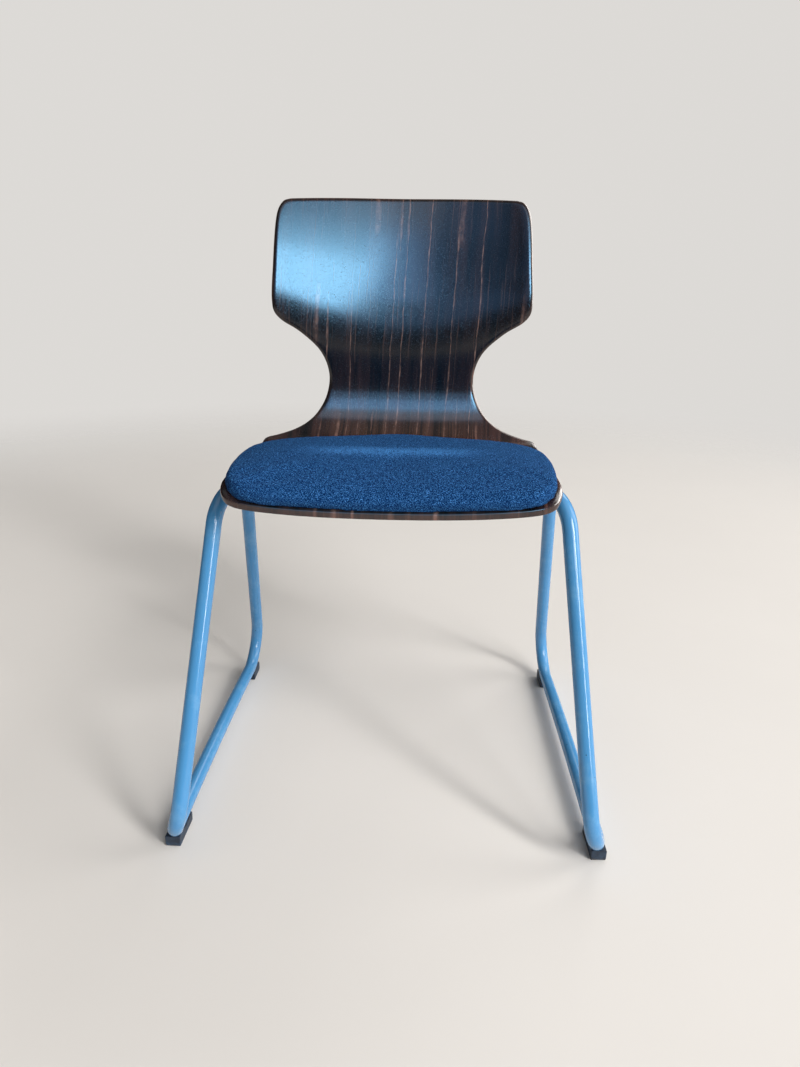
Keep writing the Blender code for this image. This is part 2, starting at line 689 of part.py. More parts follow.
def make_glide(label, side, forward):
    """Block under a bend: its side outline is extruded across the rail, then hollowed to the tube."""
    turns = BEND_STEPS + 1
    start = SKID[2 * turns] if forward < 0 else SKID[2 * turns + RAIL_STEPS]
    other = SKID[2 * turns + 1] if forward < 0 else SKID[2 * turns + RAIL_STEPS - 1]
    along = Vector((start.x - other.x, start.y - other.y, 0.0)).normalized()
    tail, nose = FRONT_GLIDE if forward < 0 else REAR_GLIDE
    data = bpy.data.curves.new("glide_outline", "CURVE")
    data.dimensions = "2D"
    data.fill_mode = "BOTH"
    data.extrude = TUBE_RADIUS - GLIDE_INSET - GLIDE_ROUND
    data.bevel_depth = GLIDE_ROUND
    data.bevel_resolution = 1
    data.offset = -GLIDE_ROUND
    brow = nose - GLIDE_NOSE_LENGTH
    outline = [(tail, 0.0), (nose - GLIDE_TOE / 2, 0.0), (nose, GLIDE_TOE), (nose, GLIDE_NOSE_HEIGHT)]
    outline += [(brow, GLIDE_NOSE_HEIGHT), (brow - GLIDE_SLOPE, GLIDE_HEIGHT), (tail, GLIDE_HEIGHT)]
    line = data.splines.new("POLY")
    line.points.add(len(outline) - 1)
    line.use_cyclic_u = True
    for knot, (a, b) in zip(line.points, outline):
        knot.co = (a, b, 0.0, 1.0)
    guide = bpy.data.objects.new("glide_outline", data)
    cutters.objects.link(guide)
    bpy.context.view_layer.update()
    graph = bpy.context.evaluated_depsgraph_get()
    bm = bmesh.new()
    bm.from_mesh(bpy.data.meshes.new_from_object(guide.evaluated_get(graph)))
    bpy.data.objects.remove(guide, do_unlink=True)
    bmesh.ops.remove_doubles(bm, verts=bm.verts[:], dist=0.00001)
    up = Vector((0.0, 0.0, 1.0))
    matrix = Matrix((along, up, along.cross(up))).transposed().to_4x4()
    matrix.translation = (start.x, start.y, 0.0)
    bm.transform(matrix)
    if side < 0:
        bm.transform(Matrix.Diagonal((-1.0, 1.0, 1.0, 1.0)))
    made = finish("glide_" + label, mesh_of("glide_" + label, bm), PLASTIC, 30.0)
    cut(made, bpy.data.objects[("right" if side > 0 else "left") + "_tube_cutter"])


SKID = skid_path()
make_shell()
make_cover()
make_foam()
make_board()
for name, side in (("left", -1), ("right", 1)):
    make_tube(name + "_skid_tube", side)
    tube_cutter(name + "_tube_cutter", side)
    make_plug(name + "_rail_end_plug", side)
    make_bolt_set("front_" + name, FRONT_BOLT[0], side * FRONT_BOLT[1])
    make_bolt_set("rear_" + name, SEAT_END + REAR_BOLT[0], side * REAR_BOLT[1])
    make_pad_screw("front_" + name, FRONT_SCREW[0], side * FRONT_SCREW[1])
    make_pad_screw("rear_" + name, SEAT_END + REAR_SCREW[0], side * REAR_SCREW[1])
    make_glide("front_" + name, side, -1)
    make_glide("rear_" + name, side, 1)
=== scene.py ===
"""Conference chair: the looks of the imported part, laid out as an add-on and run as a script.

Metres, +Z up, the sitter faces -Y and the floor under the middle of the chair is the origin.
"""

import math

import bmesh
import bpy
import numpy as np
from mathutils import Matrix, Vector
from mathutils.bvhtree import BVHTree


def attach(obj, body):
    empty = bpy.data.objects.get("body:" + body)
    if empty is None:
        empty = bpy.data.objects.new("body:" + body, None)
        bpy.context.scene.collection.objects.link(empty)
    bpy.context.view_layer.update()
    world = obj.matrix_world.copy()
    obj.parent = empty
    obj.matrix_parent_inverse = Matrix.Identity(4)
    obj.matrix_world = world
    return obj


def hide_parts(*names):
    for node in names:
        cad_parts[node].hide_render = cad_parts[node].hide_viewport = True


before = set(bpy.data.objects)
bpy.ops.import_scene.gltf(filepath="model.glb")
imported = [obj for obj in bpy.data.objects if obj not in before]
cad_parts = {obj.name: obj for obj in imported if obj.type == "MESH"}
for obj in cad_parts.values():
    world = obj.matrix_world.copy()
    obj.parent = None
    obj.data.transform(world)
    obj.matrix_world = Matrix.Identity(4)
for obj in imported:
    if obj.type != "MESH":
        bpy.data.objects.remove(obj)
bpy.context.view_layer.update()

bl_info = {
    "name": "Conference chair",
    "version": (1, 0, 0),
    "blender": (4, 5, 0),
    "location": "View3D > Sidebar > Chair",
    "description": "Dresses the solids of a plywood conference chair",
    "category": "Object",
}

# Shell profile, from the front edge to the top: length of each run, and the heading where it ends
RUNS = (0.065, 0.255, 0.150, 0.035, 0.120, 0.126)
HEADINGS = (25.0, -3.0, -3.0, 96.0, 96.0, 76.0, 71.0)
FRONT_EDGE = (-0.1908, 0.4363)
HEADING_EASE = 0.030
SEAT_END = RUNS[0] + RUNS[1]
BEND_END = SEAT_END + RUNS[2]
SHELL_LENGTH = sum(RUNS)
SEAT_DISH_RADIUS, BACK_DISH_RADIUS = 2.20, 0.58
BACK_DISH_START, BACK_DISH_RUN = -0.005, 0.205
WING_AHEAD = 0.020

# Half of the shell's outline as (run, half width), from the front corner to the top corner
SHELL_EDGE = (
    (0.0040, 0.1640),
    (0.0075, 0.1803),
    (0.0150, 0.1921),
    (0.0300, 0.2000),
    (0.0550, 0.2052),
    (0.1100, 0.2096),
    (SEAT_END - WING_AHEAD, 0.2122),
    (SEAT_END + 0.0160, 0.2126),
    (SEAT_END + 0.0310, 0.2117),
    (SEAT_END + 0.0390, 0.2090),
    (SEAT_END + 0.0438, 0.2040),
    (SEAT_END + 0.0485, 0.1960),
    (SEAT_END + 0.0555, 0.1846),
    (SEAT_END + 0.0630, 0.1722),
    (SEAT_END + 0.0725, 0.1590),
    (SEAT_END + 0.0830, 0.1470),
    (SEAT_END + 0.1000, 0.1330),
    (SEAT_END + 0.1280, 0.1190),
    (BEND_END + 0.0110, 0.1145),
    (BEND_END + 0.0465, 0.1265),
    (BEND_END + 0.0770, 0.1575),
    (BEND_END + 0.0950, 0.1860),
    (BEND_END + 0.1060, 0.1950),
    (BEND_END + 0.1210, 0.1973),
    (SHELL_LENGTH - 0.1124, 0.1945),
    (SHELL_LENGTH - 0.0395, 0.1900),
    (SHELL_LENGTH - 0.0245, 0.1858),
    (SHELL_LENGTH - 0.0155, 0.1795),
    (SHELL_LENGTH - 0.0115, 0.1705),
)

# Half of the pad's outline in the same measures, from the middle of the front to the middle of the rear
PAD_EDGE = (
    (0.0015, 0.0),
    (0.0020, 0.1000),
    (0.0040, 0.1550),
    (0.0085, 0.1740),
    (0.0180, 0.1870),
    (0.0350, 0.1950),
    (0.0650, 0.1995),
    (0.1099, 0.2040),
    (0.1601, 0.2060),
    (0.2150, 0.2030),
    (SEAT_END - 0.0630, 0.1890),
    (SEAT_END - 0.0240, 0.1620),
    (SEAT_END + 0.0050, 0.1250),
    (SEAT_END + 0.0300, 0.0750),
    (SEAT_END + 0.0425, 0.0),
)

# Corners of the right skid tube's axis, from the rear end of the seat rail to the middle of the rear cross
RAIL_END = (0.11357, 0.13058, 0.41482)
LEG_TOP = (0.21889, -0.10713, 0.43517)
TOE = (0.2555, -0.2766, 0.0191)
HEEL = (0.2630, 0.2808, 0.0191)
REAR_TOP = (0.2335, 0.11258, 0.39596)
CROSS_MIDDLE = (0.0002, 0.11258, 0.39596)
FLOOR_RAIL_SPLAY = 0.0150
FLOOR_RAIL_ARCH = 0.0040

QUARTERS = [f"{end}_{side}" for end in ("front", "rear") for side in ("left", "right")]


def linear(code):
    """Linear colour of an sRGB hex value."""
    shares = [int(code[k : k + 2], 16) / 255 for k in (0, 2, 4)]
    return tuple(s / 12.92 if s <= 0.04045 else ((s + 0.055) / 1.055) ** 2.4 for s in shares)


def length(name, description, metres):
    return bpy.props.FloatProperty(
        name=name, description=description, default=metres, min=0.0, precision=4, unit="LENGTH"
    )


def colour(name, description, code):
    return bpy.props.FloatVectorProperty(
        name=name, description=description, default=linear(code), min=0.0, max=1.0, subtype="COLOR"
    )


def share(name, description, value):
    return bpy.props.FloatProperty(
        name=name, description=description, default=value, min=0.0, max=1.0, subtype="FACTOR"
    )


class ShellSettings(bpy.types.PropertyGroup):
    thickness: length("Thickness", "Thickness of the moulded plywood", 0.009)
    face_round: length("Face rounding", "How far the rounded edge runs in over the sitter's face", 0.0065)
    under_round: length("Under rounding", "How far the rounded edge runs in over the underside", 0.005)
    stain: colour("Stain", "Dark stain between the veins", "0c0808")
    heartwood: colour("Heartwood", "Brown that shows through the stain", "44231b")
    vein: colour("Vein", "Copper-brown veins along the grain", "8c5440")
    # The ply colour also paints the light on the bend behind the pad
    ply: colour("Ply", "Paler plies on the cut edge", "56301f")


class PadSettings(bpy.types.PropertyGroup):
    edge_height: length("Edge height", "Height of the pad's rounded side above the shell", 0.0215)
    edge_round: length("Edge rounding", "How far the rounded side runs in", 0.014)
    crown: length("Crown", "Height of the pad's middle above the shell", 0.034)
    slack: length("Slack", "How much lower the crown starts before the pad is filled", 0.0065)
    fill: share("Fill", "How tightly the pad is filled", 0.8)
    yarn: colour("Yarn", "Main colour of the cloth", "022655")
    pale_fleck: colour("Pale fleck", "Lighter fibres in the yarn", "4788cd")
    dark_fleck: colour("Dark fleck", "Darker fibres in the yarn", "051434")


class FrameSettings(bpy.types.PropertyGroup):
    tube_radius: length("Tube radius", "Outer radius of the bent tube", 0.010)
    top_bend: length("Top bend", "Bend radius under the seat", 0.055)
    front_bend: length("Front bend", "Bend radius at the front feet", 0.046)
    rear_bend: length("Rear bend", "Bend radius at the rear feet", 0.050)
    paint: colour("Paint", "Grey-blue enamel", "4a8cc1")
    scuff: colour("Scuff", "Dulled enamel where shoes and floors rub", "83b6da")
    chip: colour("Chip", "Primer in small chips", "2c3a46")


class FittingSettings(bpy.types.PropertyGroup):
    plastic: colour("Plastic", "Black moulded plastic of the glides and plugs", "101a28")
    dust: colour("Dust", "Floor dust rubbed into the plastic", "44607e")
    zinc: colour("Zinc", "Bright zinc plating of the fixings", "b9bec4")
    tarnish: colour("Tarnish", "Dulled zinc", "83878c")


class StageSettings(bpy.types.PropertyGroup):
    floor: colour("Floor", "Plain pale floor", "dcdbd9")
    backdrop: share("Backdrop", "Brightness of the room behind the chair", 0.72)
    room: share("Room light", "Brightness of the even light all round", 0.19)
    room_tint: colour("Room tint", "Colour of the room", "fffcf8")
    lamp_tint: colour("Lamp tint", "Colour of the softboxes", "fffaf5")
    daylight: colour("Daylight", "Colour of the bright sky that the lacquer mirrors", "94d5ff")
    deep_sky: colour("Deep sky", "Colour of the darker sky beside it", "88beff")
    eye: bpy.props.FloatVectorProperty(
        name="Eye", description="Camera position", default=(0.0378, -1.0605, 0.7065), subtype="TRANSLATION"
    )
    look: bpy.props.FloatVectorProperty(
        name="Look",
        description="Camera yaw, pitch below the horizon and roll",
        default=tuple(math.radians(a) for a in (-1.622, 18.60, 0.788)),
        subtype="EULER",
    )
    lens: bpy.props.FloatProperty(
        name="Lens", description="Focal length on a 36 mm long side", default=26.79, unit="CAMERA"
    )


# Shell surface: every piece on the seat is placed by its run from the front, half width and height


def fade(x):
    """Smooth step from 0 to 1."""
    x = min(max(x, 0.0), 1.0)
    return x * x * (3 - 2 * x)


def profile_table(count=1500):
    """Run, place and heading at even steps along the middle of the shell."""
    ends = np.concatenate([[0.0], np.cumsum(RUNS)])
    run = np.linspace(0.0, ends[-1], count)
    heading = np.interp(run, ends, np.radians(HEADINGS))
    kernel = np.hanning(max(3, int(HEADING_EASE / run[1])))
    padded = np.pad(heading, len(kernel) // 2, mode="edge")
    heading = np.convolve(padded, kernel / kernel.sum(), mode="valid")[:count]
    middle = (heading[1:] + heading[:-1]) / 2
    places = []
    for start, turn in zip(FRONT_EDGE, (np.cos, np.sin)):
        places.append(start + np.concatenate([[0.0], np.cumsum(turn(middle) * run[1])]))
    return run, *places, heading


RUN, RUN_Y, RUN_Z, RUN_HEADING = profile_table()


def shell_point(run, half, height=0.0):
    """Point above the sitter's face of the shell, or inside the shell where height is negative."""
    y, z, heading = (np.interp(run, RUN, column) for column in (RUN_Y, RUN_Z, RUN_HEADING))
    turned = fade((run - BEND_END - BACK_DISH_START) / BACK_DISH_RUN)
    bow = (1 - turned) / SEAT_DISH_RADIUS + turned / BACK_DISH_RADIUS
    face = Vector((0.0, -math.sin(heading), math.cos(heading)))
    along = Vector((0.0, math.cos(heading), math.sin(heading)))
    across = Vector((1.0, 0.0, 0.0)) + face * (half * bow)
    point = Vector((half, y, z)) + face * (half * half * bow / 2)
    return point + across.cross(along).normalized() * height


def smooth_chain(stations, per_span):
    """Points of a rounded chain through the stations, evenly many in each span."""
    pts = [np.array(p) for p in stations]
    pts = [2 * pts[0] - pts[1]] + pts + [2 * pts[-1] - pts[-2]]
    made = []
    for a, b, c, d in zip(pts, pts[1:], pts[2:], pts[3:]):
        k = np.cumsum([0.0] + [math.sqrt(np.linalg.norm(q - p)) for p, q in ((a, b), (b, c), (c, d))])
        for t in np.linspace(k[1], k[2], per_span, endpoint=False):
            l1 = ((k[1] - t) * a + t * b) / k[1]
            l2 = ((k[2] - t) * b + (t - k[1]) * c) / (k[2] - k[1])
            l3 = ((k[3] - t) * c + (t - k[2]) * d) / (k[3] - k[2])
            m1 = ((k[2] - t) * l1 + t * l2) / k[2]
            m2 = ((k[3] - t) * l2 + (t - k[1]) * l3) / (k[3] - k[1])
            made.append(((k[2] - t) * m1 + (t - k[1]) * m2) / (k[2] - k[1]))
    made.append(pts[-2])
    return np.array(made)


def inset(chain, depth, closed=False):
    """The chain moved to its left, which is inwards on an outline that runs up its right-hand side."""
    if closed:
        ahead = np.roll(chain, -1, axis=0) - np.roll(chain, 1, axis=0)
    else:
        ahead = np.gradient(chain, axis=0)
    ahead /= np.linalg.norm(ahead, axis=1)[:, None]
    return chain + np.stack([ahead[:, 1], -ahead[:, 0]], axis=1) * depth


# Making and finishing pieces


def loft(bm, edges, rings, place):
    """Extrudes a loop of edges once for each ring, and places the new vertices by their station."""
    station = bm.verts.layers.int["station"]
    for ring in rings:
        made = bmesh.ops.extrude_edge_only(bm, edges=edges)["geom"]
        for vert in (g for g in made if isinstance(g, bmesh.types.BMVert)):
            place(vert, vert[station], ring)
        edges = [g for g in made if isinstance(g, bmesh.types.BMEdge)]
    return edges


def finish_piece(name, mesh, material, slot, *nodes):
    """Links a finished mesh as a piece of the chair that stands for the named solids."""
    mesh.materials.clear()
    mesh.materials.append(material)
    mesh.shade_smooth()
    piece = bpy.data.objects.new(name, mesh)
    bpy.context.scene.collection.objects.link(piece)
    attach(piece, "root")
    if nodes:
        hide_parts(*nodes)
    return piece


def mesh_of(name, bm):
    """Closed mesh with its doubles merged and its faces outwards."""
    bmesh.ops.remove_doubles(bm, verts=bm.verts[:], dist=0.000002)
    bmesh.ops.recalc_face_normals(bm, faces=bm.faces[:])
    mesh = bpy.data.meshes.new(name)
    bm.to_mesh(mesh)
    bm.free()
    return mesh


def coat(nodes, material):
    """Gives the solids of the named nodes their material; the solids themselves are shown."""
    for name in nodes:
        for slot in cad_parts[name].material_slots:
            slot.material = material


# Materials


def add(tree, kind, sockets=None, **settings):
    """Adds a node and returns its outputs; a socket takes a value, or a link from another node's output."""
    made = tree.nodes.new("ShaderNode" + kind)
    for name, value in settings.items():
        setattr(made, name, value)
    for name, value in (sockets or {}).items():
        if isinstance(value, bpy.types.NodeSocket):
            tree.links.new(value, made.inputs[name])
        else:
            made.inputs[name].default_value = value
    return made.outputs


def new_material(name):
    made = bpy.data.materials.new(name)
    made.use_nodes = True
    return made, made.node_tree, made.node_tree.nodes["Principled BSDF"]


# Veins of the veneer: place across the shell, half width, strength, and the runs from the front where they
# start and end
VEINS = (
    (-0.1060, 0.0012, 0.70, 0.34, 0.60),
    (-0.0435, 0.0012, 0.75, 0.34, 0.70),
    (-0.0268, 0.0013, 0.85, 0.30, 0.76),
    (0.0070, 0.0012, 0.80, 0.30, 0.76),
    (0.0500, 0.0013, 0.80, 0.30, 0.72),
    (0.0890, 0.0013, 0.85, 0.30, 0.77),
    (-0.0740, 0.0050, 0.45, 0.69, 0.77),
    (0.0545, 0.0060, 0.35, 0.67, 0.77),
    (-0.0380, 0.0020, 0.50, 0.66, 0.77),
    (-0.1590, 0.0040, 0.60, 0.53, 0.62),
    (-0.1430, 0.0020, 0.60, 0.50, 0.61),
    (-0.1190, 0.0026, 0.70, 0.32, 0.42),
    (-0.1470, 0.0022, 0.60, 0.32, 0.41),
    (-0.0880, 0.0016, 0.60, 0.32, 0.42),
    (-0.0660, 0.0018, 0.45, 0.32, 0.43),
    (0.1010, 0.0022, 0.70, 0.32, 0.41),
    (0.0250, 0.0014, 0.45, 0.32, 0.50),
    (0.0680, 0.0014, 0.40, 0.30, 0.45),
    (0.1560, 0.0030, 0.50, 0.53, 0.61),
    (-0.0850, 0.0034, 0.60, -0.05, 0.05),
    (-0.0630, 0.0040, 1.00, -0.05, 0.05),
    (-0.0420, 0.0030, 0.90, -0.05, 0.05),
    (0.0020, 0.0050, 1.00, -0.05, 0.05),
    (0.0220, 0.0022, 0.60, -0.05, 0.05),
    (0.0540, 0.0046, 1.00, -0.05, 0.05),
    (0.0970, 0.0040, 1.00, -0.05, 0.05),
    (0.1480, 0.0026, 0.60, -0.05, 0.05),
    (0.1800, 0.0030, 0.80, -0.05, 0.05),
)


def stained_beech_plywood(shell):
    """Moulded beech plywood, stained nearly black and lacquered: dark wood with thin copper veins along
    the grain, a satin skin whose fine orange peel breaks reflections into a sparkle, and plies on the edge.
    """
    made, tree, shader = new_material("stained_beech_plywood")
    grain = add(tree, "Attribute", attribute_name="grain")["Vector"]
    half, run, depth = add(tree, "SeparateXYZ", {0: grain})
    # The veins lean 50 mm in a metre, wander by about 5 mm and waver by about 1 mm
    lean = add(tree, "Math", {0: run, 1: -0.05, 2: half}, operation="MULTIPLY_ADD")[0]
    for stretch, reach in (((7.0, 5.0, 0.0), 0.010), ((22.0, 30.0, 0.0), 0.0045)):
        wander = add(tree, "Mapping", {"Vector": grain, "Scale": stretch})[0]
        wander = add(tree, "TexNoise", {"Vector": wander, "Scale": 1.0, "Detail": 3.0})[0]
        wander = add(tree, "Math", {0: wander, 1: 0.5}, operation="SUBTRACT")[0]
        lean = add(tree, "Math", {0: wander, 1: reach, 2: lean}, operation="MULTIPLY_ADD")[0]
    fibre = add(tree, "CombineXYZ", {0: lean, 1: run})[0]
    # Stretched noises along the fibre: heartwood bands 25 mm wide, streaks of 3 mm, swellings of the veins
    # every 60 mm and breaks in them every 15 mm
    noises = []
    for stretch, detail in (
        ((40.0, 2.0, 1.0), 5.0),
        ((300.0, 6.0, 1.0), 4.0),
        ((70.0, 16.0, 1.0), 2.0),
        ((110.0, 65.0, 1.0), 3.0),
    ):
        noise = add(tree, "Mapping", {"Vector": fibre, "Scale": stretch})[0]
        noise = add(tree, "TexNoise", {"Vector": noise, "Scale": 1.0, "Detail": detail, "Roughness": 0.62})
        noises.append(noise[0])
    bands, streaks, swell, breaks = noises
    bands = add(tree, "MapRange", {"Value": bands, "From Min": 0.42, "From Max": 0.70})[0]
    # The bands are paler towards the seat: painted light, where the seat and bend face up into the light
    painted_upward_light = add(tree, "MapRange", {"Value": run, "From Min": 0.52, "From Max": 0.40, "To Min": 0.4})[0]
    bands = add(tree, "Math", {0: bands, 1: painted_upward_light}, operation="MULTIPLY")[0]
    wood = add(
        tree, "Mix", {0: bands, 6: (*shell.stain, 1.0), 7: (*shell.heartwood, 1.0)}, data_type="RGBA"
    )[2]
    # The rounded edge is sanded down to browner wood, most along the top and front
    sanded_and_painted_light = add(tree, "MapRange", {"Value": depth, "From Min": 0.01, "From Max": 0.16, "To Max": 0.12})[0]
    under = add(tree, "MapRange", {"Value": depth, "From Min": 1.0, "From Max": 0.90})[0]
    sanded_and_painted_light = add(tree, "Math", {0: sanded_and_painted_light, 1: under}, operation="MULTIPLY")[0]
    for inner, outer, more in ((0.73, 0.75, 3.5), (0.012, 0.004, 3.0)):
        end = add(
            tree,
            "MapRange",
            {"Value": run, "From Min": inner, "From Max": outer, "To Min": 1.0, "To Max": more},
        )[0]
        sanded_and_painted_light = add(tree, "Math", {0: sanded_and_painted_light, 1: end}, operation="MULTIPLY")[0]
    # Painted light: the wood behind the pad is paler in the same way, where the bend faces up into warm light
    across = add(tree, "Math", {0: half}, operation="ABSOLUTE")[0]
    painted_bend_light = 0.42
    for where, outer, inner in ((run, 0.44, 0.39), (run, 0.03, 0.10), (across, 0.15, 0.09)):
        within = add(tree, "MapRange", {"Value": where, "From Min": outer, "From Max": inner})[0]
        painted_bend_light = add(tree, "Math", {0: painted_bend_light, 1: within}, operation="MULTIPLY")[0]
    sanded_and_painted_light = add(tree, "Math", {0: sanded_and_painted_light, 1: painted_bend_light}, operation="MAXIMUM")[0]
    patchy = add(
        tree, "MapRange", {"Value": streaks, "From Min": 0.36, "From Max": 0.64, "To Min": 0.2, "To Max": 1.2}
    )[0]
    sanded_and_painted_light = add(tree, "Math", {0: sanded_and_painted_light, 1: patchy}, operation="MULTIPLY", use_clamp=True)[0]
    wood = add(tree, "Mix", {0: sanded_and_painted_light, 6: wood, 7: (*shell.ply, 1.0)}, data_type="RGBA")[2]
    swell = add(
        tree, "MapRange", {"Value": swell, "From Min": 0.34, "From Max": 0.64, "To Min": 0.4, "To Max": 1.6}
    )[0]
    breaks = add(tree, "MapRange", {"Value": breaks, "From Min": 0.40, "From Max": 0.62, "To Min": 0.2})[0]
    veins = add(tree, "MapRange", {"Value": streaks, "From Min": 0.57, "From Max": 0.80, "To Max": 0.30})[0]
    for place, width, strength, first, last in VEINS:
        off = add(tree, "Math", {0: lean, 1: place}, operation="SUBTRACT")[0]
        off = add(tree, "Math", {0: off}, operation="ABSOLUTE")[0]
        off = add(tree, "Math", {0: off, 1: swell}, operation="DIVIDE")[0]
        line = add(
            tree,
            "MapRange",
            {"Value": off, "From Min": width, "From Max": 0.0, "To Max": strength},
            interpolation_type="SMOOTHSTEP",
        )[0]
        line = add(tree, "Math", {0: line, 1: breaks}, operation="MULTIPLY")[0]
        for end, over in ((first, 0.02), (last, -0.02)):
            ends = add(tree, "MapRange", {"Value": run, "From Min": end, "From Max": end + over})[0]
            line = add(tree, "Math", {0: line, 1: ends}, operation="MULTIPLY")[0]
        veins = add(tree, "Math", {0: veins, 1: line}, operation="ADD", use_clamp=True)[0]
    wood = add(tree, "Mix", {0: veins, 6: wood, 7: (*shell.vein, 1.0)}, data_type="RGBA")[2]
    # The cut edge shows seven plies of 1.3 mm
    plies = add(tree, "Math", {0: depth, 1: 7.0 * math.pi}, operation="MULTIPLY")[0]
    plies = add(tree, "Math", {0: plies}, operation="SINE")[0]
    plies = add(tree, "MapRange", {"Value": plies, "From Min": -0.6, "From Max": 0.9, "To Max": 0.25})[0]
    for low, high in ((0.06, 0.20), (0.97, 0.85)):
        rim = add(tree, "MapRange", {"Value": depth, "From Min": low, "From Max": high})[0]
        plies = add(tree, "Math", {0: plies, 1: rim}, operation="MULTIPLY")[0]
    wood = add(tree, "Mix", {0: plies, 6: wood, 7: (*shell.ply, 1.0)}, data_type="RGBA")[2]
    tree.links.new(wood, shader.inputs["Base Color"])
    # Orange peel and dust nibs of the lacquer, drawn at 1.6 mm so that they show; the front edge is worn matt
    spot = add(tree, "TexCoord")["Object"]
    peel = add(tree, "TexNoise", {"Vector": spot, "Scale": 620.0, "Detail": 2.0})[0]
    bump = add(tree, "Bump", {"Height": peel, "Strength": 0.075, "Distance": 0.0008})[0]
    tree.links.new(bump, shader.inputs["Normal"])
    rough = add(
        tree, "MapRange", {"Value": peel, "From Min": 0.36, "From Max": 0.66, "To Min": 0.12, "To Max": 0.28}
    )[0]
    front = add(tree, "MapRange", {"Value": run, "From Min": 0.010, "From Max": 0.003, "To Max": 0.5})[0]
    rough = add(tree, "Math", {0: rough, 1: front}, operation="MAXIMUM")[0]
    tree.links.new(rough, shader.inputs["Roughness"])
    shader.inputs["IOR"].default_value = 1.5
    return made


def wool_felt_weave(pad):
    """Dense wool cloth of pale, mid and navy fibres: a mottled blue without gloss, with a short nap."""
    made, tree, shader = new_material("wool_felt_weave")
    spot = add(tree, "TexCoord")["Object"]
    # Flecks 0.7 mm wide and 1.6 mm long, coarser than the fibres so that they show
    fleck = add(tree, "Mapping", {"Vector": spot, "Scale": (1400.0, 620.0, 1400.0)})[0]
    fleck = add(tree, "TexNoise", {"Vector": fleck, "Scale": 1.0, "Detail": 1.0, "Roughness": 0.6})[0]
    # Painted highlight: the cloth is paler in a soft band 75 mm deep across the middle of the seat, where the
    # nap catches the light
    parts = add(tree, "SeparateXYZ", {0: spot})
    painted_highlight_band = []
    for axis, middle, inner, outer in ((0, 0.0, 0.05, 0.15), (1, -0.052, 0.002, 0.038)):
        off = add(tree, "Math", {0: parts[axis], 1: middle}, operation="SUBTRACT")[0]
        off = add(tree, "Math", {0: off}, operation="ABSOLUTE")[0]
        near = {"Value": off, "From Min": outer, "From Max": inner}
        painted_highlight_band.append(add(tree, "MapRange", near, interpolation_type="SMOOTHSTEP")[0])
    painted_highlight_band = add(tree, "Math", {0: painted_highlight_band[0], 1: painted_highlight_band[1]}, operation="MULTIPLY")[0]
    fleck = add(tree, "Math", {0: painted_highlight_band, 1: 0.11, 2: fleck}, operation="MULTIPLY_ADD")[0]
    dark = add(tree, "MapRange", {"Value": fleck, "From Min": 0.46, "From Max": 0.34})[0]
    pale = add(tree, "MapRange", {"Value": fleck, "From Min": 0.53, "From Max": 0.66})[0]
    cloth = add(tree, "Mix", {0: dark, 6: (*pad.yarn, 1.0), 7: (*pad.dark_fleck, 1.0)}, data_type="RGBA")[2]
    cloth = add(tree, "Mix", {0: pale, 6: cloth, 7: (*pad.pale_fleck, 1.0)}, data_type="RGBA")[2]
    tree.links.new(cloth, shader.inputs["Base Color"])
    # Threads 1.6 mm apart both ways
    threads = add(tree, "Mapping", {"Vector": spot, "Scale": (3900.0, 3900.0, 3900.0)})[0]
    threads = add(tree, "SeparateXYZ", {0: threads})
    warp, weft = (add(tree, "Math", {0: threads[k]}, operation="SINE")[0] for k in (0, 1))
    weave = add(tree, "Math", {0: warp, 1: weft}, operation="MULTIPLY")[0]
    nap = add(tree, "Math", {0: fleck, 1: 3.0, 2: weave}, operation="MULTIPLY_ADD")[0]
    bump = add(tree, "Bump", {"Height": nap, "Strength": 0.35, "Distance": 0.0006})[0]
    tree.links.new(bump, shader.inputs["Normal"])
    shader.inputs["Roughness"].default_value = 0.95
    shader.inputs["Specular IOR Level"].default_value = 0.05
    shader.inputs["Sheen Weight"].default_value = 0.07
    shader.inputs["Sheen Roughness"].default_value = 0.4
    shader.inputs["Sheen Tint"].default_value = (*linear("5c9fe0"), 1.0)
    return made


def enamelled_steel(settings):
    """Steel tube under sprayed enamel: an even grey-blue with a wet gloss, slightly uneven, dulled in
    patches and chipped in pinpricks.
    """
    made, tree, shader = new_material("enamelled_steel")
    spot = add(tree, "TexCoord")["Object"]
    cloud = add(tree, "TexNoise", {"Vector": spot, "Scale": 22.0, "Detail": 5.0, "Roughness": 0.7})[0]
    dull = add(tree, "MapRange", {"Value": cloud, "From Min": 0.50, "From Max": 0.80, "To Max": 0.45})[0]
    paint = add(
        tree, "Mix", {0: dull, 6: (*settings.paint, 1.0), 7: (*settings.scuff, 1.0)}, data_type="RGBA"
    )[2]
    # Chips 1 to 2 mm across, a few on each tube
    cells = add(tree, "TexVoronoi", {"Vector": spot, "Scale": 55.0})["Distance"]
    chips = add(tree, "MapRange", {"Value": cells, "From Min": 0.05, "From Max": 0.03})[0]
    paint = add(tree, "Mix", {0: chips, 6: paint, 7: (*settings.chip, 1.0)}, data_type="RGBA")[2]
    tree.links.new(paint, shader.inputs["Base Color"])
    gloss = add(tree, "MapRange", {"Value": cloud, "To Min": 0.08, "To Max": 0.24})[0]
    tree.links.new(gloss, shader.inputs["Roughness"])
    peel = add(tree, "TexNoise", {"Vector": spot, "Scale": 260.0, "Detail": 1.0})[0]
    peel = add(tree, "Math", {0: peel, 1: chips}, operation="SUBTRACT")[0]
    bump = add(tree, "Bump", {"Height": peel, "Strength": 0.06, "Distance": 0.0008})[0]
    tree.links.new(bump, shader.inputs["Normal"])
    shader.inputs["IOR"].default_value = 1.5
    return made


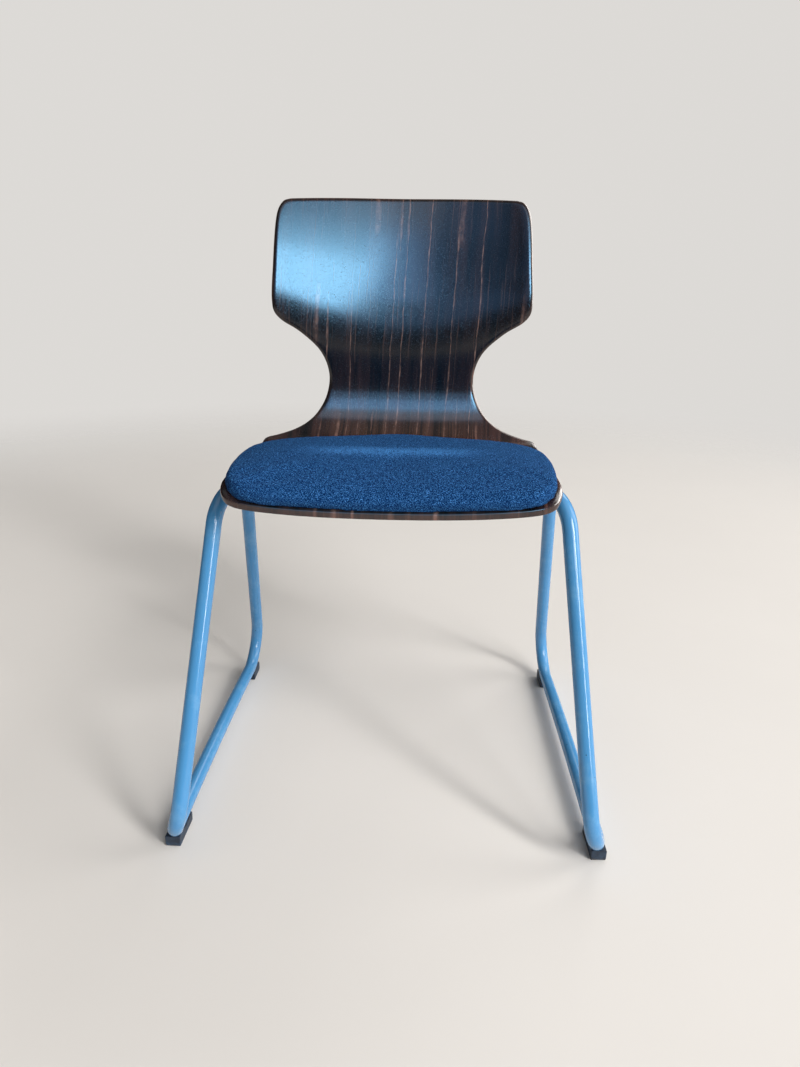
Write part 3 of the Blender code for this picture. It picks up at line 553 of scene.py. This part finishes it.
def moulded_polyamide(settings):
    """Black nylon moulded in a spark-eroded tool: a fine matt grain, with floor dust rubbed in low down."""
    made, tree, shader = new_material("moulded_polyamide")
    spot = add(tree, "TexCoord")["Object"]
    height = add(tree, "SeparateXYZ", {0: spot})[2]
    low = add(tree, "MapRange", {"Value": height, "From Min": 0.016, "From Max": 0.0, "To Max": 0.5})[0]
    smear = add(tree, "TexNoise", {"Vector": spot, "Scale": 90.0, "Detail": 5.0, "Roughness": 0.7})[0]
    smear = add(tree, "MapRange", {"Value": smear, "From Min": 0.42, "From Max": 0.75})[0]
    dust = add(tree, "Math", {0: smear, 1: 0.30, 2: 0.04}, operation="MULTIPLY_ADD")[0]
    dust = add(tree, "Math", {0: smear, 1: low, 2: dust}, operation="MULTIPLY_ADD", use_clamp=True)[0]
    skin = add(
        tree, "Mix", {0: dust, 6: (*settings.plastic, 1.0), 7: (*settings.dust, 1.0)}, data_type="RGBA"
    )[2]
    tree.links.new(skin, shader.inputs["Base Color"])
    pits = add(tree, "TexNoise", {"Vector": spot, "Scale": 1400.0, "Detail": 2.0})[0]
    bump = add(tree, "Bump", {"Height": pits, "Strength": 0.25, "Distance": 0.0002})[0]
    tree.links.new(bump, shader.inputs["Normal"])
    rough = add(tree, "MapRange", {"Value": dust, "To Min": 0.48, "To Max": 0.80})[0]
    tree.links.new(rough, shader.inputs["Roughness"])
    return made


def zinc_plated_steel(settings):
    """Fixings in bright zinc: a soft bluish metal shine, clouded where the plating has dulled."""
    made, tree, shader = new_material("zinc_plated_steel")
    spot = add(tree, "TexCoord")["Object"]
    cloud = add(tree, "TexNoise", {"Vector": spot, "Scale": 320.0, "Detail": 4.0})[0]
    cloud = add(tree, "MapRange", {"Value": cloud, "From Min": 0.40, "From Max": 0.70})[0]
    skin = add(
        tree, "Mix", {0: cloud, 6: (*settings.zinc, 1.0), 7: (*settings.tarnish, 1.0)}, data_type="RGBA"
    )[2]
    tree.links.new(skin, shader.inputs["Base Color"])
    rough = add(tree, "MapRange", {"Value": cloud, "To Min": 0.25, "To Max": 0.50})[0]
    tree.links.new(rough, shader.inputs["Roughness"])
    shader.inputs["Metallic"].default_value = 1.0
    return made


# Pieces


class CHAIR_OT_plywood_shell(bpy.types.Operator):
    """Moulded shell: both faces are grids in the outline, joined by a rounded edge"""

    bl_idname = "chair.plywood_shell"
    bl_label = "Plywood shell"

    columns = 40
    per_span = 6
    round_steps = 6
    # Run over which the front and the top are bowed, and the power of that bow, less by an ease at the top
    bowed = 0.08
    corner_power, top_ease = 4, 1.6
    # How much of the rounding is left off the front, up to what run, and the run over which that fades
    square_front, square_end, square_fade = 0.85, 0.01, 0.05
    # Columns are a little closer together towards the sides
    column_ease = 0.9

    def execute(self, context):
        shell = context.scene.chair_shell
        outline = smooth_chain(SHELL_EDGE, self.per_span)
        rows = len(outline) - 1
        bm = bmesh.new()
        station = bm.verts.layers.int.new("station")
        grain = bm.verts.layers.float_vector.new("grain")
        edges = {}

        # The front is cut nearly square, and the rounding widens to its full run along the sides
        full = [fade((run - self.square_end) / self.square_fade) for run, _ in outline]
        widths = np.array([1 - self.square_front * (1 - f) for f in full])

        def place(vert, spot, ring):
            depth_in, drop = ring
            if depth_in not in edges:
                edges[depth_in] = inset(outline, depth_in * widths[:, None])
            edge = edges[depth_in]
            row, column = divmod(spot, self.columns + 1)
            run, half = edge[row]
            front, top = edge[0][0] - depth_in * widths[0], SHELL_LENGTH - depth_in - edge[-1][0]
            middle = run - front * (1 - fade((run - edge[0][0]) / self.bowed))
            middle += top * fade((run - edge[-1][0]) / self.bowed + 1)
            x = 2 * column / self.columns - 1
            x = math.copysign(abs(x) ** self.column_ease, x)
            power = self.corner_power - self.top_ease * fade((run - edge[-1][0]) / self.bowed + 1)
            run, half = middle + (run - middle) * abs(x) ** power, half * x
            vert.co = shell_point(run, half, -drop)
            vert[grain] = (half, run, drop / shell.thickness)

        def face(depth_in, drop):
            verts = bmesh.ops.create_grid(bm, x_segments=self.columns, y_segments=rows, size=1.0)["verts"]
            for vert in verts:
                row, column = round((vert.co.y + 1) / 2 * rows), round((vert.co.x + 1) / 2 * self.columns)
                vert[station] = row * (self.columns + 1) + column
                place(vert, vert[station], (depth_in, drop))

        face(shell.face_round, 0.0)
        rim = [e for e in bm.edges if e.is_boundary]
        rings, half_thick = [], shell.thickness / 2
        for width, start in ((shell.face_round, 0.0), (shell.under_round, math.pi / 2)):
            for k in range(1, self.round_steps + 1):
                turn = start + k / self.round_steps * math.pi / 2
                rings.append((width * (1 - math.sin(turn)), half_thick * (1 - math.cos(turn))))
        loft(bm, rim, rings, place)
        face(*rings[-1])
        mesh = mesh_of("plywood_shell", bm)
        finish_piece("plywood_shell", mesh, stained_beech_plywood(shell), "dark_plywood", "seat_shell")
        return {"FINISHED"}


class CHAIR_OT_seat_pad(bpy.types.Operator):
    """Seat pad: a closed form on the shell, filled by a cloth simulation and drawn tight over its edge"""

    bl_idname = "chair.seat_pad"
    bl_label = "Seat pad"

    sides, per_span, round_steps = 120, 24, 8
    # Rings of the blank as shares of its outline, under the pad and over its crown
    first_ring = 0.10
    base_rings = (0.35, 0.65, 0.88, 1.0)
    crown_rings = (0.93, 0.85, 0.75, 0.62, 0.46, 0.28, 0.10)
    crown_power = 2.4
    # The cloth stands proud of the outline, tucks in under the pad, lies just off the shell, and is widest at
    # a share of the edge height
    proud, tuck, base, widest = 0.0012, 0.005, 0.0008, 0.4
    # Filling: the lowest part is held, the side's grip fades out below the edge height, a cap limits each move
    voxel, frames, pressure = 0.005, 20, 4.0
    held_below, side_grip, grip_fade = 0.0035, 0.8, 0.006
    cap, smoothings = 0.008, 2

    def execute(self, context):
        pad = context.scene.chair_pad
        start = self.blank(pad)
        filled = self.fill(context, start, pad)
        piece = finish_piece(
            "seat_pad", filled, wool_felt_weave(pad), "blue_fabric", "pad_cover", "pad_foam", "pad_board"
        )
        return {"FINISHED"}

    def outline(self):
        """Evenly spaced points of the pad's outline, once round."""
        mirrored = [(run, -half) for run, half in PAD_EDGE[-2:0:-1]]
        closed = list(PAD_EDGE) + mirrored + list(PAD_EDGE[:1])
        pts = smooth_chain([closed[-2]] + closed + [closed[1]], self.per_span)
        pts = pts[self.per_span : -self.per_span]
        walk = np.concatenate([[0.0], np.cumsum(np.linalg.norm(np.diff(pts, axis=0), axis=1))])
        want = np.linspace(0.0, walk[-1], self.sides, endpoint=False)
        return np.stack([np.interp(want, walk, pts[:, k]) for k in (0, 1)], axis=1)

    def blank(self, pad):
        """The pad before it is filled: flat rings on the shell, a rounded side and a low crown."""
        outline = self.outline()
        middle = np.array([(outline[:, 0].min() + outline[:, 0].max()) / 2, 0.0])
        tuck, base = self.tuck, self.base
        edge, crown = pad.edge_height, pad.crown - pad.slack
        low = edge * self.widest
        rings = [(s, tuck, base) for s in self.base_rings]
        turns = [k / self.round_steps * math.pi / 2 for k in range(1, self.round_steps + 1)]
        for t in turns:
            rings.append((1.0, tuck * (1 - math.sin(t)), base + (low - base) * (1 - math.cos(t))))
        for t in turns:
            rings.append((1.0, pad.edge_round * (1 - math.cos(t)), low + (edge - low) * math.sin(t)))
        for s in self.crown_rings:
            rings.append((s, pad.edge_round, edge + (crown - edge) * (1 - s**self.crown_power)))
        insets = {}

        def place(vert, spot, ring):
            s, depth_in, height = ring
            if depth_in not in insets:
                insets[depth_in] = inset(outline, depth_in - self.proud, closed=True)
            run, half = middle + (insets[depth_in][spot] - middle) * s
            vert.co = shell_point(run, half, height)

        bm = bmesh.new()
        station = bm.verts.layers.int.new("station")
        first = bmesh.ops.create_circle(bm, segments=self.sides, radius=1.0, cap_ends=True)["verts"]
        for k, vert in enumerate(first):
            vert[station] = k
            place(vert, k, (self.first_ring, tuck, base))
        last = loft(bm, [e for e in bm.edges if e.is_boundary], rings, place)
        bmesh.ops.edgeloop_fill(bm, edges=last)
        return mesh_of("seat_pad", bm)

    def fill(self, context, mesh, pad):
        """The blank as an even mesh, blown up by the cloth simulation, smoothed and made finer."""
        scene = context.scene
        blank = bpy.data.objects.new("pad_blank", mesh)
        scene.collection.objects.link(blank)
        remesh = blank.modifiers.new("remesh", "REMESH")
        remesh.mode = "VOXEL"
        remesh.voxel_size = self.voxel
        remesh.use_smooth_shade = True
        even = bpy.data.meshes.new_from_object(blank.evaluated_get(context.evaluated_depsgraph_get()))
        bpy.data.objects.remove(blank, do_unlink=True)
        cloth_pad = bpy.data.objects.new("pad_cloth", even)
        scene.collection.objects.link(cloth_pad)
        rest = np.array([v.co for v in even.vertices])
        shell = BVHTree.FromObject(bpy.data.objects["plywood_shell"], context.evaluated_depsgraph_get())
        above = np.array([shell.find_nearest(v.co)[3] for v in even.vertices])
        held = cloth_pad.vertex_groups.new(name="held")
        for k, high in enumerate(above):
            grip = self.side_grip * fade((pad.edge_height - high) / self.grip_fade)
            held.add([k], 1.0 if high < self.held_below else grip, "REPLACE")
        moved = rest.copy()
        cloth = cloth_pad.modifiers.new("cloth", "CLOTH")
        cloth.settings.use_pressure = True
        cloth.settings.uniform_pressure_force = self.pressure
        cloth.settings.effector_weights.gravity = 0.0
        cloth.settings.vertex_group_mass = "held"
        cloth.collision_settings.use_collision = False
        for number in range(1, self.frames + 1):
            scene.frame_set(number)
        done = cloth_pad.evaluated_get(context.evaluated_depsgraph_get())
        moved = np.array([v.co for v in done.data.vertices])
        cloth_pad.modifiers.remove(cloth)
        scene.frame_set(1)
        step = moved - rest
        far = np.linalg.norm(step, axis=1)
        step *= (np.minimum(far, self.cap) / np.maximum(far, 1e-9))[:, None]
        bm = bmesh.new()
        bm.from_mesh(even)
        for vert, spot in zip(bm.verts, rest + step):
            vert.co = spot
        free = [v for v, high in zip(bm.verts, above) if high >= self.held_below]
        axes = {"use_axis_" + axis: True for axis in "xyz"}
        for _ in range(self.smoothings):
            bmesh.ops.smooth_vert(bm, verts=free, factor=0.5, **axes)
        bmesh.ops.subdivide_edges(bm, edges=bm.edges[:], cuts=1, use_grid_fill=True, smooth=1.0)
        bpy.data.objects.remove(cloth_pad, do_unlink=True)
        return mesh_of("seat_pad", bm)


class CHAIR_OT_skid_frame(bpy.types.Operator):
    """Bent tubes: each side is one tube from its seat rail round the floor to the rear cross"""

    bl_idname = "chair.skid_frame"
    bl_label = "Skid frame"

    bend_steps, rail_steps, round_steps = 20, 24, 14

    def execute(self, context):
        settings = context.scene.chair_frame
        enamel = enamelled_steel(settings)
        for name, side in (("left_skid_tube", -1), ("right_skid_tube", 1)):
            data = bpy.data.curves.new(name, "CURVE")
            data.dimensions = "3D"
            data.bevel_depth = settings.tube_radius
            data.bevel_resolution = self.round_steps
            data.use_fill_caps = True
            path = self.path(settings)
            line = data.splines.new("POLY")
            line.points.add(len(path) - 1)
            for knot, point in zip(line.points, path):
                knot.co = (point.x * side, point.y, point.z, 1.0)
            guide = bpy.data.objects.new("tube_guide", data)
            context.scene.collection.objects.link(guide)
            mesh = bpy.data.meshes.new_from_object(guide.evaluated_get(context.evaluated_depsgraph_get()))
            bpy.data.objects.remove(guide, do_unlink=True)
            bm = bmesh.new()
            bm.from_mesh(mesh)
            piece = name.replace("skid_tube", "bent_tube")
            finish_piece(piece, mesh_of(name, bm), enamel, "grey_blue_paint", name)
        coat(["mount_plate_" + q for q in QUARTERS], enamel)
        return {"FINISHED"}

    def bend(self, before, corner, after, radius):
        """Points of the arc that rounds the corner."""
        a, b = (before - corner).normalized(), (after - corner).normalized()
        half = a.angle(b) / 2
        centre = corner + (a + b).normalized() * (radius / math.sin(half))
        u, v = ((corner + d * (radius / math.tan(half)) - centre) / radius for d in (a, b))
        turn = u.angle(v)
        made = []
        for k in range(self.bend_steps + 1):
            t = k / self.bend_steps * turn
            made.append(centre + (u * math.sin(turn - t) + v * math.sin(t)) * (radius / math.sin(turn)))
        return made

    def path(self, settings):
        """The right tube's axis: the floor rail splays towards the front and arches between its feet."""
        corners = (RAIL_END, LEG_TOP, TOE, HEEL, REAR_TOP, CROSS_MIDDLE)
        end, top, toe, heel, rear, middle = (Vector(c) for c in corners)

        def splay(point, turned):
            return Vector((FLOOR_RAIL_SPLAY * (heel.y - point.y) / (heel.y - toe.y) * turned, 0.0, 0.0))

        path = [end] + self.bend(end, top, toe, settings.top_bend)
        front = self.bend(top, toe, heel, settings.front_bend)
        back = self.bend(toe, heel, rear, settings.rear_bend)
        path += [p + splay(front[-1], fade(k / self.bend_steps)) for k, p in enumerate(front)]
        for k in range(1, self.rail_steps):
            t = k / self.rail_steps
            point = front[-1].lerp(back[0], t)
            path.append(point + splay(point, 1.0) + Vector((0.0, 0.0, FLOOR_RAIL_ARCH * 4 * t * (1 - t))))
        path += [p + splay(back[0], 1 - fade(k / self.bend_steps)) for k, p in enumerate(back)]
        return path + self.bend(heel, rear, middle, settings.top_bend) + [middle]


class CHAIR_OT_fittings(bpy.types.Operator):
    """Glides, rail plugs and fixings: the solids themselves, finished as plastic and zinc"""

    bl_idname = "chair.fittings"
    bl_label = "Glides and fixings"

    def execute(self, context):
        settings = context.scene.chair_fittings
        nylon = moulded_polyamide(settings)
        coat(["glide_" + q for q in QUARTERS], nylon)
        coat([side + "_rail_end_plug" for side in ("left", "right")], nylon)
        zinc = zinc_plated_steel(settings)
        for kind in ("pad_screw_", "shell_bolt_", "washer_", "lock_nut_"):
            coat([kind + q for q in QUARTERS], zinc)
        return {"FINISHED"}


class CHAIR_OT_stage(bpy.types.Operator):
    """Pale floor, soft window lights from the front and the right, even room light and the camera"""

    bl_idname = "chair.stage"
    bl_label = "Stage"

    # Each light as seen from the chair: degrees to the right of its front, degrees above the horizon, width
    # and height in degrees, brightness where white is 1, what it reaches, and its colour. The blue of the
    # sky is kept to the dark lacquer, and white softboxes light the rest, so that the other colours stay as
    # they are written
    lights = {
        "sky_window": (18.0, 17.5, 25.0, 27.0, 27.5, "shell", "daylight"),
        "sky_upper": (18.5, 33.5, 30.0, 5.0, 14.0, "shell", "daylight"),
        "sky_above": (23.0, 40.0, 34.0, 8.0, 4.5, "shell", "daylight"),
        "deep_sky_strip": (0.0, 7.5, 40.0, 15.0, 1.5, "shell", "deep_sky"),
        "deep_sky_edge": (-0.5, 26.0, 12.0, 22.0, 5.0, "shell", "deep_sky"),
        "deep_sky_left": (-16.5, 26.0, 20.0, 22.0, 0.8, "shell", "deep_sky"),
        "deep_sky_top": (0.0, 48.0, 44.0, 22.0, 1.2, "shell", "deep_sky"),
        "upper_softbox": (1.0, 47.0, 20.0, 20.0, 1.15, "shell", "lamp_tint"),
        "front_softbox": (36.0, 32.0, 24.0, 26.0, 9.2, "rest", "lamp_tint"),
        "tall_softbox": (46.0, 22.0, 6.0, 44.0, 25.0, "rest", "lamp_tint"),
        "contour_softbox": (104.0, 22.0, 52.0, 56.0, 9.0, "shell", "lamp_tint"),
        "rim_softbox": (143.0, 22.0, 26.0, 50.0, 5.0, "shell", "lamp_tint"),
        "side_softbox": (95.0, 27.0, 26.0, 50.0, 3.8, "rest", "lamp_tint"),
        "rear_softbox": (150.0, 42.0, 30.0, 24.0, 3.0, "all", "lamp_tint"),
        "ceiling_softbox": (10.0, 74.0, 60.0, 40.0, 0.7, "rest", "lamp_tint"),
    }
    aim = Vector((0.0, 0.20, 0.68))
    far = 9.0
    curtain_corners = ((12.0, -10.5), (-10.5, -10.5), (-10.5, 12.0), (12.0, 12.0))
    curtain_foot, curtain_height = -3.0, 15.0
    floor_radius, floor_drop = 3.5, 0.0003
    fade_from, fade_to = 1.5, 3.4
    sensor = 36.0

    def execute(self, context):
        scene, stage = context.scene, context.scene.chair_stage
        self.floor(scene, stage)
        self.curtain(scene)
        groups = self.groups()
        for name, (right, above, wide, tall, bright, group, tint) in self.lights.items():
            lamp = bpy.data.lights.new(name, "AREA")
            lamp.shape = "RECTANGLE"
            lamp.size, lamp.size_y = (2 * self.far * math.tan(math.radians(a / 2)) for a in (wide, tall))
            lamp.energy = bright * math.pi * lamp.size * lamp.size_y
            lamp.color = getattr(stage, tint)
            window = bpy.data.objects.new(name, lamp)
            turn, lift = math.radians(right), math.radians(above)
            away = Vector((math.sin(turn) * math.cos(lift), -math.cos(turn) * math.cos(lift), math.sin(lift)))
            window.location = self.aim + away * self.far
            window.rotation_euler = away.to_track_quat("Z", "Y").to_euler()
            window.light_linking.receiver_collection = groups.get(group)
            scene.collection.objects.link(window)
        self.room(scene, stage)
        self.camera(scene, stage)
        scene.view_settings.view_transform = "Standard"
        return {"FINISHED"}

    def groups(self):
        """What a light reaches: the shell alone, or all but the shell. A light on all has no group."""
        made = {}
        for name, state in (("shell", "INCLUDE"), ("rest", "EXCLUDE")):
            made[name] = bpy.data.collections.new("light_on_" + name)
            made[name].objects.link(bpy.data.objects["plywood_shell"])
            made[name].collection_objects[0].light_linking.link_state = state
        return made

    def room(self, scene, stage):
        """Even light all round, dimmer overhead, and a paler backdrop where the room is seen or mirrored."""
        world = bpy.data.worlds.new("room")
        world.use_nodes = True
        tree = world.node_tree
        path = add(tree, "LightPath")
        seen = path["Is Camera Ray"]
        for kind in ("Is Glossy Ray", "Is Transmission Ray"):
            seen = add(tree, "Math", {0: seen, 1: path[kind]}, operation="MAXIMUM")[0]
        level = add(tree, "MapRange", {"Value": seen, "To Min": stage.room, "To Max": stage.backdrop})[0]
        up = add(tree, "SeparateXYZ", {0: add(tree, "TexCoord")["Generated"]})[2]
        overhead = add(
            tree, "MapRange", {"Value": up, "From Min": 0.35, "From Max": 0.8, "To Min": 1.0, "To Max": 0.3}
        )[0]
        level = add(tree, "Math", {0: level, 1: overhead}, operation="MULTIPLY")[0]
        room = tree.nodes["Background"]
        room.inputs["Color"].default_value = (*stage.room_tint, 1.0)
        tree.links.new(level, room.inputs["Strength"])
        scene.world = world

    def curtain(self, scene):
        """Dark cloth in front, behind and on the left that only reflections show, to keep them deep."""
        made, _, shader = new_material("black_cotton_cloth")
        shader.inputs["Base Color"].default_value = (*linear("17171a"), 1.0)
        shader.inputs["Roughness"].default_value = 1.0
        bm = bmesh.new()
        hem = [bm.verts.new((x, y, self.curtain_foot)) for x, y in self.curtain_corners]
        edges = [bm.edges.new(pair) for pair in zip(hem, hem[1:])]
        raised = bmesh.ops.extrude_edge_only(bm, edges=edges)["geom"]
        raised = [g for g in raised if isinstance(g, bmesh.types.BMVert)]
        bmesh.ops.translate(bm, vec=(0.0, 0.0, self.curtain_height), verts=raised)
        curtain = self.sheet(scene, "curtain", bm, made)
        curtain.visible_camera = curtain.visible_diffuse = False

    def sheet(self, scene, name, bm, material):
        """A piece of the stage, with its mesh as it was drawn."""
        mesh = bpy.data.meshes.new(name)
        bm.to_mesh(mesh)
        bm.free()
        mesh.materials.append(material)
        made = bpy.data.objects.new(name, mesh)
        scene.collection.objects.link(made)
        return made

    def floor(self, scene, stage):
        """Matt floor just under the glides that fades into the backdrop away from the chair."""
        made, tree, shader = new_material("matt_floor_paint")
        spot = add(tree, "TexCoord")["Object"]
        tone = add(tree, "TexNoise", {"Vector": spot, "Scale": 3.0, "Detail": 3.0})[0]
        tone = add(tree, "MapRange", {"Value": tone, "To Min": 0.98, "To Max": 1.02})[0]
        tint = add(tree, "VectorMath", {0: stage.floor[:], 1: tone}, operation="MULTIPLY")[0]
        tree.links.new(tint, shader.inputs["Base Color"])
        shader.inputs["Roughness"].default_value = 0.9
        shader.inputs["Specular IOR Level"].default_value = 0.2
        away = add(tree, "VectorMath", {0: spot}, operation="LENGTH")["Value"]
        gone = add(
            tree,
            "MapRange",
            {"Value": away, "From Min": self.fade_from, "From Max": self.fade_to},
            interpolation_type="SMOOTHSTEP",
        )[0]
        clear = add(tree, "BsdfTransparent")[0]
        blend = add(tree, "MixShader", {0: gone, 1: shader.outputs[0], 2: clear})[0]
        tree.links.new(blend, tree.nodes["Material Output"].inputs["Surface"])
        bm = bmesh.new()
        bmesh.ops.create_circle(bm, cap_ends=True, segments=96, radius=self.floor_radius)
        bmesh.ops.translate(bm, vec=(0.0, 0.0, -self.floor_drop), verts=bm.verts[:])
        floor = self.sheet(scene, "floor", bm, made)

    def camera(self, scene, stage):
        """The photograph's view."""
        yaw, pitch, roll = stage.look
        ahead = Vector((math.sin(yaw) * math.cos(pitch), math.cos(yaw) * math.cos(pitch), -math.sin(pitch)))
        right = Vector((math.cos(yaw), -math.sin(yaw), 0.0))
        up = right.cross(ahead)
        right, up = (
            right * math.cos(roll) + up * math.sin(roll),
            up * math.cos(roll) - right * math.sin(roll),
        )
        data = bpy.data.cameras.new("camera")
        data.lens = stage.lens
        data.sensor_width = self.sensor
        eye = bpy.data.objects.new("camera", data)
        eye.matrix_world = Matrix.Translation(stage.eye) @ Matrix((right, up, -ahead)).transposed().to_4x4()
        scene.collection.objects.link(eye)
        scene.camera = eye


SETTINGS = {
    "chair_shell": ShellSettings,
    "chair_pad": PadSettings,
    "chair_frame": FrameSettings,
    "chair_fittings": FittingSettings,
    "chair_stage": StageSettings,
}
OPERATORS = (
    CHAIR_OT_plywood_shell,
    CHAIR_OT_seat_pad,
    CHAIR_OT_skid_frame,
    CHAIR_OT_fittings,
    CHAIR_OT_stage,
)


class CHAIR_PT_looks(bpy.types.Panel):
    """Sizes and colours of the chair, and a button for each group of pieces"""

    bl_idname = "CHAIR_PT_looks"
    bl_label = "Conference chair"
    bl_space_type = "VIEW_3D"
    bl_region_type = "UI"
    bl_category = "Chair"

    def draw(self, context):
        for (name, group), operator in zip(SETTINGS.items(), OPERATORS):
            box = self.layout.box()
            box.operator(operator.bl_idname)
            for prop in group.__annotations__:
                box.prop(getattr(context.scene, name), prop)


def register():
    for item in (*SETTINGS.values(), *OPERATORS, CHAIR_PT_looks):
        bpy.utils.register_class(item)
    for name, group in SETTINGS.items():
        setattr(bpy.types.Scene, name, bpy.props.PointerProperty(type=group))


def unregister():
    for name in SETTINGS:
        delattr(bpy.types.Scene, name)
    for item in reversed((*SETTINGS.values(), *OPERATORS, CHAIR_PT_looks)):
        bpy.utils.unregister_class(item)


def main():
    register()
    bpy.ops.chair.plywood_shell()
    bpy.ops.chair.seat_pad()
    bpy.ops.chair.skid_frame()
    bpy.ops.chair.fittings()
    bpy.ops.chair.stage()


if __name__ == "__main__":
    main()
